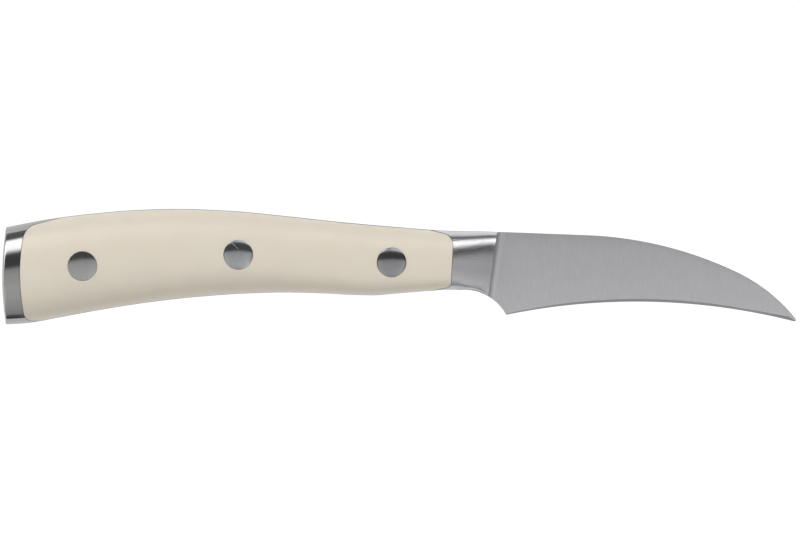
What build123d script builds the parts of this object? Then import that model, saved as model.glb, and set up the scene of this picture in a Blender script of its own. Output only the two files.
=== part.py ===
from build123d import *
import math
import os

# Turning and paring knife with a turned-down blade, 186.5 mm long.
# One forging carries blade, bolster, full tang and butt cap. Two moulded scales are let in between
# bolster and cap, one each side, and three two-piece rivets hold them to the tang.
# Drawing frame: X runs from butt to point with zero where the blade leaves the bolster, Y towards the
# spine with zero level with the rear rivet, Z through the thickness with zero on the middle plane.
# Lengths are in millimetres and angles in degrees.

# Whole knife
handle_length = 116.5
tang_thickness = 2.3
overrun = 4.0  # how far a raw block or a cutter reaches past what it shapes
joint_clearance = 0.03  # left round a scale's ends and round every rivet

# Handle seen from the side and from above
back_crest = 13.55
butt_depth = 13.58
butt_half_thickness = 7.6
butt_bow_radius = 76.0
butt_rim_radius = 0.6

# Stations are shares of the handle's length from the butt, and run on past 1 into the blade's root.
# Heights are shares of the back's crest, depths of the butt's depth, thicknesses of the butt's.
back_station_shares = (-0.03, 0.01, 0.084, 0.181, 0.27, 0.35, 0.455, 0.568, 0.681, 0.794, 0.907, 0.984, 1.0,
                       1.05)
back_height_shares = (0.62, 0.686, 0.807, 0.916, 0.978, 1.0, 0.968, 0.878, 0.773, 0.686, 0.619, 0.607, 0.6,
                      0.645)
belly_station_shares = (-0.03, 0.016, 0.05, 0.116, 0.213, 0.31, 0.407, 0.504, 0.568, 0.649, 0.697, 0.746,
                        0.794, 0.859, 0.899, 0.918, 0.932, 0.945, 0.965, 0.986, 1.0, 1.02, 1.05)
belly_depth_shares = (1.016, 1.0, 0.979, 0.879, 0.728, 0.604, 0.516, 0.462, 0.449, 0.465, 0.488, 0.5,
                      0.469, 0.424, 0.4, 0.403, 0.424, 0.455, 0.505, 0.66, 0.83, 0.97, 1.03)
thickness_station_shares = (-0.03, 0.02, 0.116, 0.26, 0.36, 0.455, 0.568, 0.681, 0.794, 0.87, 0.905, 0.93,
                            0.95, 0.986, 1.0, 1.02, 1.05)
thickness_shares = (0.977, 0.987, 1.0, 0.98, 0.947, 0.9, 0.84, 0.785, 0.755, 0.745, 0.74, 0.735,
                    0.725, 0.67, 0.645, 0.61, 0.56)

# The oval is widest a little below the middle of its height, by shares of the largest drop
widest_drop = 1.0
widest_station_shares = (-0.03, 0.02, 0.1616, 0.26, 0.455, 0.794, 0.905, 1.0, 1.05)
widest_drop_shares = (0.0, 0.05, 0.5, 0.65, 1.0, 0.95, 0.45, 0.3, 0.3)

# Exponents of the oval sections above and below their widest line: 2 is an ellipse and more is squarer
roundness_station_shares = (-0.03, 0.5, 0.75, 0.9, 0.95, 0.986, 1.0, 1.05)
upper_exponents = (2.05, 2.05, 2.05, 2.22, 2.68, 3.3, 3.5, 4.0)
lower_exponents = (2.05, 2.2, 2.7, 3.4, 3.8, 2.9, 2.7, 2.7)
section_points = 24
handle_sections = 17
neck_sections = 15
neck_start_share = 0.86

# Scales: where their ends lie, and how their corners turn
cap_length = 4.3
bolster_length = 10.5
scale_rear_bow = 1.3
scale_front_lean = 0.6
rear_top_share = 0.912
rear_bottom_share = 0.961
front_top_share = 0.849
front_bottom_share = 0.888
scale_top_slope = 14.7
scale_bottom_slope = 9.7
rear_top_radius = 4.3
rear_bottom_radius = 2.2
front_top_radius = 2.8
front_bottom_radius = 1.2

# Rivets: each is a post pressed into a sleeve, with both heads ground flush with the scales
rivet_names = ("rear", "middle", "front")
rivet_station_shares = (0.1616, 0.476, 0.7854)
rivet_drop = 0.5  # below the middle of the handle's height
rivet_head_diameter = 7.0
rivet_head_length = 1.8
sleeve_diameter = 5.0
post_diameter = 3.0
rivet_end_gap = 0.4
rivet_floor = 0.6  # metal left under the sleeve's blind bore

# Blade outline
blade_length = 70.6  # to the sharp corner that the point's round then takes back to 70.0
tip_drop = 13.16
tip_radius = 0.37
spine_height = 8.15
spine_fall = 2.17
spine_straight = 20.9
spine_bend_radius = 89.7
spine_bend_angle = 23.4
heel_reach = 1.93
heel_depth = 11.36
edge_hollow = 3.95
notch_radius = 11.4
notch_crown_radius = 18.6
notch_depth = 5.45

# Blade section: flat wedge faces, a ground bevel along the edge and a hollow shoulder at the bolster
spine_thickness = 1.6
thickness_behind_edge = 0.22
edge_land = 0.05
bevel_angle = 17.0
bevel_reach = 2.0
shoulder_radius = 2.15
shoulder_foot = 0.82
shoulder_lean = 7.9


def read_curve(place, places, values):
    """Value at a place on the smooth curve through a table, with no overshoot between its entries."""
    steps = [(values[i + 1] - values[i]) / (places[i + 1] - places[i]) for i in range(len(places) - 1)]
    inner = [0 if a * b <= 0 else 2 * a * b / (a + b) for a, b in zip(steps, steps[1:])]
    slopes = [steps[0]] + inner + [steps[-1]]
    i = max(k for k in range(len(steps)) if k == 0 or places[k] <= place)
    width = places[i + 1] - places[i]
    t = (place - places[i]) / width
    start = (1 + 2 * t) * (1 - t) ** 2 * values[i] + t * (1 - t) ** 2 * width * slopes[i]
    end = t**2 * (3 - 2 * t) * values[i + 1] + t**2 * (t - 1) * width * slopes[i + 1]
    return start + end


def handle_x(share):
    return handle_length * (share - 1)


def share_at(x):
    return 1 + x / handle_length


def back_height(x):
    return back_crest * read_curve(share_at(x), back_station_shares, back_height_shares)


def belly_depth(x):
    return butt_depth * read_curve(share_at(x), belly_station_shares, belly_depth_shares)


def half_thickness(x):
    return butt_half_thickness * read_curve(share_at(x), thickness_station_shares, thickness_shares)


def middle_height(x):
    return (back_height(x) - belly_depth(x)) / 2


def widest_height(x):
    return middle_height(x) - widest_drop * read_curve(share_at(x), widest_station_shares, widest_drop_shares)


def handle_section(x):
    """Closed oval across the handle: a superellipse whose upper and lower halves differ in squareness."""
    widest = widest_height(x)
    upper = (back_height(x) - widest, read_curve(share_at(x), roundness_station_shares, upper_exponents))
    lower = (widest + belly_depth(x), read_curve(share_at(x), roundness_station_shares, lower_exponents))
    points = []
    for i in range(section_points):
        turn = i / section_points
        across = math.sin(math.tau * turn)
        along = math.cos(math.tau * turn)
        reach, power = upper if along > 0 else lower
        swell = (abs(across) ** power + abs(along) ** power) ** (-1 / power)
        points.append((x, widest + reach * swell * along, half_thickness(x) * swell * across))
    turns = [i / section_points for i in range(section_points + 1)]
    return Wire([Edge.make_spline(points, periodic=True, parameters=turns)])


def handle_form():
    """Smooth body from the butt to the blade's root, with a domed butt end."""
    neck_start = handle_x(neck_start_share)
    butt = handle_x(back_station_shares[0])
    root = handle_x(back_station_shares[-1])
    rear = [butt + (neck_start - butt) * i / handle_sections for i in range(handle_sections)]
    neck = [neck_start + (root - neck_start) * i / neck_sections for i in range(neck_sections + 1)]
    body = Solid.make_loft([handle_section(x) for x in rear + neck])
    centre = Pos(butt_bow_radius - handle_length, middle_height(-handle_length), 0)
    body = body & centre * Sphere(butt_bow_radius)
    rim = body.faces().filter_by(GeomType.SPHERE).edges()
    return fillet(rim, butt_rim_radius)


def scale_outline(clearance):
    """Face of a scale seen from the side, grown by a clearance at its two ends."""
    rear = -handle_length + cap_length - clearance
    rear_corner = rear + scale_rear_bow
    front = -bolster_length + clearance
    front_low = front - scale_front_lean
    rear_top = (rear_corner, back_height(rear_corner) * rear_top_share + clearance)
    rear_bottom = (rear_corner, -belly_depth(rear_corner) * rear_bottom_share - clearance)
    front_top = (front, back_height(front) * front_top_share + clearance)
    front_bottom = (front_low, -belly_depth(front_low) * front_bottom_share - clearance)
    rise = math.tan(math.radians(scale_top_slope))
    fall = math.tan(math.radians(scale_bottom_slope))
    ridge_x = (front_top[1] - rear_top[1] + rise * (front + rear_corner)) / (2 * rise)
    ridge = (ridge_x, rear_top[1] + rise * (ridge_x - rear_corner))
    keel = (front_low - (front_bottom[1] - rear_bottom[1]) / fall, rear_bottom[1])
    rear_end = ThreePointArc(rear_bottom, (rear, (rear_top[1] + rear_bottom[1]) / 2), rear_top)
    rest = Polyline(rear_top, ridge, front_top, front_bottom, keel, rear_bottom)
    outline = make_face([rear_end] + rest.edges())
    corners = (
        (rear_top, rear_top_radius + clearance),
        (rear_bottom, rear_bottom_radius + clearance),
        (front_top, front_top_radius + clearance),
        (front_bottom, front_bottom_radius + clearance),
    )
    for corner, radius in corners:
        outline = fillet(outline.vertices().sort_by_distance((*corner, 0))[0], radius)
    return outline


def above_tang(outline):
    """Block over a side outline, from the tang's face outwards."""
    height = butt_half_thickness + overrun
    return Pos(0, 0, tang_thickness / 2) * extrude(outline, height)


def edge_arc():
    return SagittaArc((heel_reach, -heel_depth), (blade_length, -tip_drop), edge_hollow)


def blade_outline():
    """Blade seen from the side, from a root inside the bolster to the point."""
    fall = math.radians(spine_fall)
    root_x = shoulder_foot + shoulder_radius
    root = (root_x, spine_height - root_x * math.tan(fall))
    bend = (spine_straight, spine_height - spine_straight * math.tan(fall))
    straight = Line(root, bend)
    curve = JernArc(bend, (math.cos(fall), -math.sin(fall)), spine_bend_radius, -spine_bend_angle)
    nose = TangentArc(curve @ 1, (blade_length, -tip_drop), tangent=curve % 1)
    edge = edge_arc()
    outline = make_face([straight, curve, nose, edge, Line(edge @ 0, root)])
    return fillet(outline.vertices().sort_by(Axis.X)[-1], tip_radius)


def blade_flat():
    """Plane of the right flat: half the spine's thickness at the shoulder, thin along the edge."""
    at_spine = Vector(0, spine_height, spine_thickness / 2)
    at_heel = Vector(heel_reach, -heel_depth, thickness_behind_edge / 2)
    at_tip = Vector(blade_length, -tip_drop, thickness_behind_edge / 2)
    normal = (at_tip - at_heel).cross(at_spine - at_heel).normalized()
    return Plane(at_heel, x_dir=at_tip - at_heel, z_dir=normal)


def flat_cutter():
    """What is ground off the right side: all above the flat, ending in the hollow of the shoulder."""
    flat = blade_flat()
    lean = math.tan(math.radians(shoulder_lean))
    low = Vector(shoulder_foot - lean * heel_depth, -heel_depth, 0)
    high = Vector(shoulder_foot + lean * spine_height, spine_height, 0)
    low, high = [Axis(p, (0, 0, 1)).intersect(flat) for p in (low, high)]
    downward = (low - high).normalized()
    ground = Plane(high - downward * overrun, x_dir=flat.z_dir.cross(downward), z_dir=downward)
    reach = blade_length + overrun
    height = butt_half_thickness
    with BuildSketch(ground) as section:
        with BuildLine():
            hollow = CenterArc((0, shoulder_radius), shoulder_radius, 180, 90)
            Polyline(hollow @ 1, (reach, 0), (reach, height), (-shoulder_radius, height), hollow @ 0)
        make_face()
    return extrude(section.sketch, (high - low).length + 2 * overrun)


def bevel_cutter():
    """Cone round the edge's own centre, so the bevel keeps one angle along the curved edge."""
    arc = edge_arc()
    radius = arc.radius
    slope = math.tan(math.radians(bevel_angle))
    low = edge_land / 2 - bevel_reach * slope
    high = edge_land / 2 + bevel_reach * slope
    inner = radius - bevel_reach
    outer = radius + bevel_reach
    section = Plane.XZ * make_face(Polyline((inner, low), (outer, high), (inner, high), close=True))
    return Pos(arc.arc_center.X, arc.arc_center.Y, 0) * revolve(section, Axis.Z)


def edge_stock():
    """Everything below the cutting edge."""
    arc = edge_arc()
    return Pos(arc.arc_center.X, arc.arc_center.Y, 0) * Cylinder(arc.radius, 2 * butt_half_thickness)


def finger_notch():
    """Waisted cutter, which leaves the notch crowned: lowest in the middle of the knife's thickness."""
    centre_y = -notch_depth - notch_radius
    run = math.sqrt(notch_radius**2 - (centre_y + heel_depth) ** 2)
    reach = butt_half_thickness
    flare = notch_crown_radius - math.sqrt(notch_crown_radius**2 - reach**2)
    outer = notch_radius + flare
    crown = ThreePointArc((outer, -reach), (notch_radius, 0), (outer, reach))
    ends = Polyline((outer, reach), (0, reach), (0, -reach), (outer, -reach))
    section = Plane.XZ * make_face([crown] + ends.edges())
    return Pos(heel_reach - run, centre_y, 0) * revolve(section, Axis.Z)


def spine_stock():
    """What stands above the spine where the rounded bolster runs out into it."""
    fall = math.tan(math.radians(spine_fall))
    end = handle_x(back_station_shares[-1]) + overrun
    above = Polyline(
        (0, spine_height),
        (end, spine_height - end * fall),
        (end, spine_height + overrun),
        (0, spine_height + overrun),
        close=True,
    )
    return extrude(make_face(above), butt_half_thickness, both=True)


def rivet_places():
    """Centre, and height of the counterbore floors, of each rivet."""
    for name, share in zip(rivet_names, rivet_station_shares):
        x = handle_x(share)
        yield name, x, middle_height(x) - rivet_drop, half_thickness(x) - rivet_head_length


def forging(form):
    raw_half = spine_thickness / 2 + thickness_behind_edge
    body = form - edge_stock() + extrude(blade_outline(), raw_half, both=True)
    right = flat_cutter()
    body = body - right - mirror(right, Plane.XY)
    body = body - spine_stock() - finger_notch()
    bevel = bevel_cutter()
    body = body - bevel - mirror(bevel, Plane.XY)
    recess = above_tang(scale_outline(joint_clearance))
    body = body - recess - mirror(recess, Plane.XY)
    for _, x, y, _ in rivet_places():
        body = body - Pos(x, y, 0) * Cylinder(sleeve_diameter / 2 + joint_clearance, 2 * tang_thickness)
    return body


def right_scale(form):
    scale = form & above_tang(scale_outline(0))
    stand = (Align.CENTER, Align.CENTER, Align.MIN)
    for _, x, y, floor in rivet_places():
        hole = Cylinder(sleeve_diameter / 2 + joint_clearance, 2 * floor)
        seat_radius = rivet_head_diameter / 2 + joint_clearance
        counterbore = Pos(0, 0, floor) * Cylinder(seat_radius, butt_half_thickness, align=stand)
        scale = scale - Pos(x, y, 0) * (hole + counterbore)
    return scale


def rivet_post(form, x, y, floor):
    """Head on the right side, with a solid shank that reaches into the sleeve."""
    stand = (Align.CENTER, Align.CENTER, Align.MIN)
    head = Pos(0, 0, floor) * Cylinder(rivet_head_diameter / 2, butt_half_thickness, align=stand)
    start = rivet_floor - floor + rivet_end_gap
    shank = Pos(0, 0, start) * Cylinder(post_diameter / 2, floor - start, align=stand)
    return form & Pos(x, y, 0) * (head + shank)


def rivet_sleeve(form, x, y, floor):
    """Head on the left side, with a bored shank through scale, tang and scale."""
    hang = (Align.CENTER, Align.CENTER, Align.MAX)
    stand = (Align.CENTER, Align.CENTER, Align.MIN)
    head = Pos(0, 0, -floor) * Cylinder(rivet_head_diameter / 2, butt_half_thickness, align=hang)
    shank = Pos(0, 0, -floor) * Cylinder(sleeve_diameter / 2, 2 * floor - rivet_end_gap, align=stand)
    bore_radius = post_diameter / 2 + joint_clearance
    bore = Pos(0, 0, rivet_floor - floor) * Cylinder(bore_radius, 2 * floor, align=stand)
    return form & Pos(x, y, 0) * (head + shank - bore)


form = handle_form()
scale = right_scale(form)
parts = {"blade_blank": forging(form), "right_scale": scale, "left_scale": mirror(scale, Plane.XY)}
for name, x, y, floor in rivet_places():
    parts[name + "_rivet_post"] = rivet_post(form, x, y, floor)
    parts[name + "_rivet_sleeve"] = rivet_sleeve(form, x, y, floor)

# The finished knife lies on its left side, centred on the table
box = Compound(children=[Part() + piece for piece in parts.values()]).bounding_box()
on_table = Pos(-box.center().X, -box.center().Y, -box.min.Z)
os.makedirs("parts", exist_ok=True)
for name, piece in parts.items():
    export_step(on_table * piece, f"parts/{name}.step")
    print(name, round(piece.volume, 1))
print("length", round(box.size.X, 2), "width", round(box.size.Y, 2), "thickness", round(box.size.Z, 2))
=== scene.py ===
import math
import bpy
import numpy as np
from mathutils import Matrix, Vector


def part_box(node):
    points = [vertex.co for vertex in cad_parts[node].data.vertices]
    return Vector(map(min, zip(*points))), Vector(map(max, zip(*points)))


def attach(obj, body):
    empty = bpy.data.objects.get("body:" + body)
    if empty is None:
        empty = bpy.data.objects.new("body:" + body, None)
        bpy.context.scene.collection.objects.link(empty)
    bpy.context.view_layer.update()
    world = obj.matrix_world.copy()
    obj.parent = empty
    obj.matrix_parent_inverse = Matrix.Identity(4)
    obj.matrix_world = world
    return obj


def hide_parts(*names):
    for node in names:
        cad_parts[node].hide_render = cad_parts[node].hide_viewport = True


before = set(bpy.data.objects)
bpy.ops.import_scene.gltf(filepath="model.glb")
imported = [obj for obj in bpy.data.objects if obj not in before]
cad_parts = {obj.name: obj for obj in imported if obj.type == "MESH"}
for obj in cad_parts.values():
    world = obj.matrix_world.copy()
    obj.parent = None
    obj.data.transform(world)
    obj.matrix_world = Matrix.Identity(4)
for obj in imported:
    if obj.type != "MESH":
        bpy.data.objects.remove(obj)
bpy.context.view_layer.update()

# Sizes are in millimetres in the maker's drawing frame: x from butt to point with zero where the blade
# leaves the bolster, y towards the spine, z out of the knife's right side with zero on its middle plane.

handle = {
    "length": 116.5,
    "backCrest": 13.55,
    "buttDepth": 13.58,
    "buttHalf": 7.6,
    "bowRadius": 76.0,
    "rimRadius": 0.3,
    "backStationShares": (-0.03, 0.01, 0.084, 0.181, 0.27, 0.35, 0.455, 0.568, 0.681, 0.794, 0.907, 0.984,
                          1.0, 1.05),
    "backShares": (0.62, 0.686, 0.807, 0.916, 0.978, 1.0, 0.968, 0.878, 0.773, 0.686, 0.619, 0.607,
                   0.6, 0.645),
    "bellyStationShares": (-0.03, 0.016, 0.05, 0.116, 0.213, 0.31, 0.407, 0.504, 0.568, 0.649, 0.697, 0.746,
                           0.794, 0.859, 0.899, 0.918, 0.932, 0.945, 0.965, 0.986, 1.0, 1.02, 1.05),
    "bellyShares": (1.016, 1.0, 0.979, 0.879, 0.728, 0.604, 0.516, 0.462, 0.449, 0.465, 0.488, 0.5,
                    0.469, 0.424, 0.4, 0.403, 0.424, 0.455, 0.505, 0.66, 0.83, 0.97, 1.03),
    "thickStationShares": (-0.03, 0.02, 0.116, 0.26, 0.36, 0.455, 0.568, 0.681, 0.794, 0.87, 0.905, 0.93,
                           0.95, 0.986, 1.0, 1.02, 1.05),
    "thickShares": (0.977, 0.987, 1.0, 0.98, 0.947, 0.9, 0.84, 0.785, 0.755, 0.745, 0.74, 0.735,
                    0.725, 0.67, 0.645, 0.61, 0.56),
    "widestDrop": 1.0,  # the oval is widest a little below the middle of its height
    "widestStationShares": (-0.03, 0.02, 0.1616, 0.26, 0.455, 0.794, 0.905, 1.0, 1.05),
    "widestShares": (0.0, 0.05, 0.5, 0.65, 1.0, 0.95, 0.45, 0.3, 0.3),
    "roundStationShares": (-0.03, 0.5, 0.75, 0.9, 0.95, 0.986, 1.0, 1.05),
    "upperPowers": (2.05, 2.05, 2.05, 2.22, 2.68, 3.3, 3.5, 4.0),
    "lowerPowers": (2.05, 2.2, 2.7, 3.4, 3.8, 2.9, 2.7, 2.7),
    "stations": 300,  # along the wall
    "turns": 224,     # round each oval
    "rimSteps": 8,
    "domeRings": 26,
    "leanStart": -18.0,  # from here the rings lean over, to end along the shoulder
    "frontPast": 0.15,   # and end this far past the shoulder's foot
}


def readCurve(place, places, values):
    # monotone cubic through a table: Hermite pieces whose inner slopes are harmonic means of the steps
    places = np.array(places)
    values = np.array(values)
    steps = np.diff(values) / np.diff(places)
    before, after = steps[:-1], steps[1:]
    rising = before * after > 0
    inner = np.where(rising, 2 * before * after / np.where(rising, before + after, 1), 0)
    slopes = np.concatenate([steps[:1], inner, steps[-1:]])
    i = np.clip(np.searchsorted(places, place, side="right") - 1, 0, len(steps) - 1)
    width = places[i + 1] - places[i]
    t = (place - places[i]) / width
    start = (1 + 2 * t) * (1 - t) ** 2 * values[i] + t * (1 - t) ** 2 * width * slopes[i]
    end = t**2 * (3 - 2 * t) * values[i + 1] + t**2 * (t - 1) * width * slopes[i + 1]
    return start + end


def ovalAt(x):
    # the oval across the handle at x: back, belly, half thickness, height of its widest line, its two powers
    share = 1 + x / handle["length"]
    back = handle["backCrest"] * readCurve(share, handle["backStationShares"], handle["backShares"])
    belly = handle["buttDepth"] * readCurve(share, handle["bellyStationShares"], handle["bellyShares"])
    half = handle["buttHalf"] * readCurve(share, handle["thickStationShares"], handle["thickShares"])
    upper = readCurve(share, handle["roundStationShares"], handle["upperPowers"])
    lower = readCurve(share, handle["roundStationShares"], handle["lowerPowers"])
    drop = handle["widestDrop"] * readCurve(share, handle["widestStationShares"], handle["widestShares"])
    return back, belly, half, (back - belly) / 2 - drop, upper, lower


def ovalPoint(x, turn):
    # superellipse: y = widest + reach * swell * cos and z = half * swell * sin,
    # where swell = (|sin|^p + |cos|^p)^(-1/p)
    back, belly, half, widest, upper, lower = ovalAt(x)
    across = np.sin(2 * np.pi * turn)
    along = np.cos(2 * np.pi * turn)
    power = np.where(along > 0, upper, lower)
    swell = (np.abs(across) ** power + np.abs(along) ** power) ** (-1 / power)
    reach = np.where(along > 0, back - widest, belly + widest)
    return widest + reach * swell * along, half * swell * across


def handleSurface(x, y):
    # height of the handle's right side over a place in the side view: z = half * (1 - |v|^p)^(1/p)
    back, belly, half, widest, upper, lower = ovalAt(x)
    v = (y - widest) / np.where(y > widest, back - widest, belly + widest)
    power = np.where(v > 0, upper, lower)
    return half * np.maximum(1 - np.abs(v) ** power, 0) ** (1 / power)


rivets = {
    "names": ("rear", "middle", "front"),
    "tones": ("#B3B3B4", "#B1B2B4", "#A1A1A3"),
    "stationShares": (0.1616, 0.476, 0.7854),
    "drop": 0.5,
    "headRadius": 3.5,
    "headLength": 1.8,
    "sleeveRadius": 2.5,
    "postRadius": 1.5,
    "clearance": 0.03,
    "postShort": 1.0,   # the post ends this far from the other head, the sleeve this far
    "sleeveShort": 0.4,
    "boreShort": 0.6,   # the sleeve's bore stops this far from its own head
    "gap": 0.045,       # seam between head and scale
    "edgeRound": 0.07,
    "domes": (0.08, 0.19, 0.19),  # how much each ground head falls from its middle to its rim
    "domeRise": 0.4,    # share of that by which the middle stands over the scale
    "faceSteps": 15,
    "rimSteps": 6,
    "spokes": 144,
    "boreSpokes": 64,
    "holeSpokes": 48,
    "seatTop": 12.0,    # the seats' cuts end here, well outside the handle
    "boreOver": 0.5,    # the bores' cuts end this far inside the seats
    "holeHalf": 3.0,    # the tang's holes are cut this far to both sides
}


def rivetSeat(share):
    # a rivet's middle in the side view, and how far from the middle plane its head is seated
    x = handle["length"] * (share - 1)
    back, belly, half = ovalAt(x)[:3]
    return x, (back - belly) / 2 - rivets["drop"], half - rivets["headLength"]


# The drawing frame's zero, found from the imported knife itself
firstLow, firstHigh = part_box("rear_rivet_post")
rearX, rearY = rivetSeat(rivets["stationShares"][0])[:2]
blankLow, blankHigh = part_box("blade_blank")
zero = np.array([
    (firstLow.x + firstHigh.x) / 2 - rearX / 1000,
    (firstLow.y + firstHigh.y) / 2 - rearY / 1000,
    (blankLow.z + blankHigh.z) / 2,
])
print("frame loaded, drawing zero at", zero)

smoothDegrees = 12.0  # edges sharper than this stay crisp


def addObject(name, data):
    thing = bpy.data.objects.new(name, data)
    bpy.context.scene.collection.objects.link(thing)
    return thing


def makePiece(name, points, faces):
    # points in drawing millimetres go into the mesh in metres, in the row's frame
    mesh = bpy.data.meshes.new(name)
    mesh.from_pydata((np.asarray(points) / 1000 + zero).tolist(), [], faces)
    mesh.validate()
    mesh.shade_smooth()
    mesh.set_sharp_from_angle(angle=math.radians(smoothDegrees))
    return addObject(name, mesh)


def closedTube(name, rings, startPole, endPole):
    # rings is an array (ring, spoke, xyz): quads join the rings, and triangles close both ends on a pole
    count, spokes = rings.shape[:2]
    points = np.vstack([rings.reshape(-1, 3), [startPole, endPole]])
    i = np.arange(count - 1)[:, None] * spokes
    j = np.arange(spokes)
    k = (j + 1) % spokes
    faces = np.stack([i + j, i + k, i + k + spokes, i + j + spokes], axis=-1).reshape(-1, 4).tolist()
    last = (count - 1) * spokes
    pole = np.full(spokes, count * spokes)
    faces += np.column_stack([k, j, pole]).tolist()
    faces += np.column_stack([last + j, last + k, pole + 1]).tolist()
    return makePiece(name, points, faces)


def sweptOutline(name, first, second):
    # straight sides between two like outlines, which close the ends
    count = len(first)
    j = np.arange(count)
    k = (j + 1) % count
    faces = np.stack([j, k, k + count, j + count], axis=-1).tolist()
    faces += [list(range(count - 1, -1, -1)), list(range(count, 2 * count))]
    return makePiece(name, np.vstack([first, second]), faces)


def prism(name, outline, low, high):
    # an outline in the side view, carried through the thickness; its area's sign tells which way it turns
    outline = np.asarray(outline)
    x, y = outline.T
    if np.sum(x * np.roll(y, -1) - np.roll(x, -1) * y) < 0:
        outline = outline[::-1]
    ends = [np.column_stack([outline, np.full(len(outline), z)]) for z in (low, high)]
    return sweptOutline(name, *ends)


def meshPoints(mesh):
    points = np.empty(len(mesh.vertices) * 3)
    mesh.vertices.foreach_get("co", points)
    return points.reshape(-1, 3)


def mirrored(name, piece):
    # the same shape on the left side: z to minus z, with the faces turned back outwards
    mesh = piece.data.copy()
    points = meshPoints(mesh)
    points[:, 2] = 2 * zero[2] - points[:, 2]
    mesh.vertices.foreach_set("co", points.ravel())
    mesh.flip_normals()
    mesh.name = name
    return addObject(name, mesh)


def outwards(piece):
    # turns a closed shape right side out, by the sign of its volume
    mesh = piece.data
    mesh.calc_loop_triangles()
    corners = np.empty(len(mesh.loop_triangles) * 3, dtype=np.int32)
    mesh.loop_triangles.foreach_get("vertices", corners)
    a, b, c = meshPoints(mesh)[corners.reshape(-1, 3)].transpose(1, 0, 2)
    if np.sum(np.cross(a, b) * c) < 0:
        mesh.flip_normals()
    return piece


def carve(piece, steps):
    # exact cuts and joins, applied in turn; the tools that made them are removed
    for operation, tool in steps:
        cut = piece.modifiers.new("cut", "BOOLEAN")
        cut.operation = operation
        cut.object = tool
        cut.solver = "EXACT"
    shape = bpy.data.meshes.new_from_object(piece.evaluated_get(bpy.context.evaluated_depsgraph_get()))
    piece.modifiers.clear()
    for _, tool in steps:
        bpy.data.objects.remove(tool)
    shape.name = piece.name
    piece.data = shape
    shape.shade_smooth()
    shape.set_sharp_from_angle(angle=math.radians(smoothDegrees))


# Blade and shoulder
blade = {
    "reach": 70.6,
    "tipDrop": 13.16,
    "tipRadius": 0.37,
    "spineHeight": 8.15,
    "spineFall": 2.17,        # degrees
    "spineStraight": 20.9,
    "bendRadius": 89.7,
    "bendAngle": 23.4,
    "heelReach": 1.93,
    "heelDepth": 11.36,
    "edgeHollow": 3.95,
    "notchRadius": 11.4,
    "notchDepth": 5.45,
    "notchCrown": 18.6,
    "spineThick": 1.6,
    "behindEdge": 0.22,
    "edgeLand": 0.05,
    "bevelAngle": 20.0,
    "bevelMost": 0.45,        # most of the blade's width that the bevel may take
    "lowBevel": (58.0, 68.0),  # from here to here the bevel is ground lower and lower
    "lowBevelShare": 0.58,
    "spineRound": 0.12,
    "roundFrom": 2.0,         # where the blade is narrower than this, its spine is rounded less
    "nibTurn": -34.0,         # degrees; the last place on the point's round
    "shoulderRadius": 2.15,
    "shoulderFoot": 0.82,
    "shoulderLean": 7.9,
    "rootBack": 0.4,          # how far behind the shoulder's foot the blade's own surface starts
    "tuck": 0.003,            # the bolster's cut faces lie this much under the blade's
    "rings": 180,
    "tipRings": 9,
    "roundSteps": 10,
    "flatSteps": 8,
    "spineSteps": (60, 160, 120),
    "edgeSteps": 400,
}
lean = math.tan(math.radians(blade["shoulderLean"]))
heel = np.array([blade["heelReach"], -blade["heelDepth"]])
tip = np.array([blade["reach"], -blade["tipDrop"]])


def unitVector(v):
    return v / np.linalg.norm(v)


def circleThrough(start, end, bow):
    # centre and radius of the arc from start to end whose middle stands bow to the left of the chord
    chord = end - start
    half = np.linalg.norm(chord) / 2
    radius = (half**2 + bow**2) / (2 * bow)
    side = np.array([-chord[1], chord[0]]) / (2 * half)
    return (start + end) / 2 + side * (bow - radius), radius


def circlesMeet(centreA, radiusA, centreB, radiusB, near):
    # the point at both distances from two centres that lies nearer to a given place
    gap = np.linalg.norm(centreB - centreA)
    along = (gap**2 + radiusA**2 - radiusB**2) / (2 * gap)
    out = math.sqrt(radiusA**2 - along**2)
    unit = (centreB - centreA) / gap
    side = np.array([-unit[1], unit[0]])
    found = [centreA + unit * along + side * out, centreA + unit * along - side * out]
    return min(found, key=lambda p: np.linalg.norm(p - near))


edgeCentre, edgeRadius = circleThrough(heel, tip, blade["edgeHollow"])
fall = math.radians(blade["spineFall"])
bendStart = np.array([blade["spineStraight"], blade["spineHeight"] - blade["spineStraight"] * math.tan(fall)])
bendCentre = bendStart - blade["bendRadius"] * np.array([math.sin(fall), math.cos(fall)])
noseTurn = fall + math.radians(blade["bendAngle"])
noseStart = bendCentre + blade["bendRadius"] * np.array([math.sin(noseTurn), math.cos(noseTurn)])
toTip = tip - noseStart
drop = math.atan2(-toTip[1], toTip[0]) - noseTurn
noseRadius = np.linalg.norm(toTip) / (2 * math.sin(drop))
noseCentre = noseStart - noseRadius * np.array([math.sin(noseTurn), math.cos(noseTurn)])
pointCentre = circlesMeet(noseCentre, noseRadius - blade["tipRadius"], edgeCentre,
                          edgeRadius + blade["tipRadius"], tip)
noseEnd = noseCentre + unitVector(pointCentre - noseCentre) * noseRadius
edgeEnd = edgeCentre + unitVector(pointCentre - edgeCentre) * edgeRadius

# The right flat is the plane through three known thicknesses: z = flatAt + flatSlope . (x, y)
flatPlaces = np.array([[0, blade["spineHeight"]], heel, tip])
flatHeights = np.array([blade["spineThick"], blade["behindEdge"], blade["behindEdge"]]) / 2
flatFit = np.linalg.solve(np.column_stack([np.ones(3), flatPlaces]), flatHeights)


def flatHeight(x, y):
    return flatFit[0] + flatFit[1] * x + flatFit[2] * y


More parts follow.
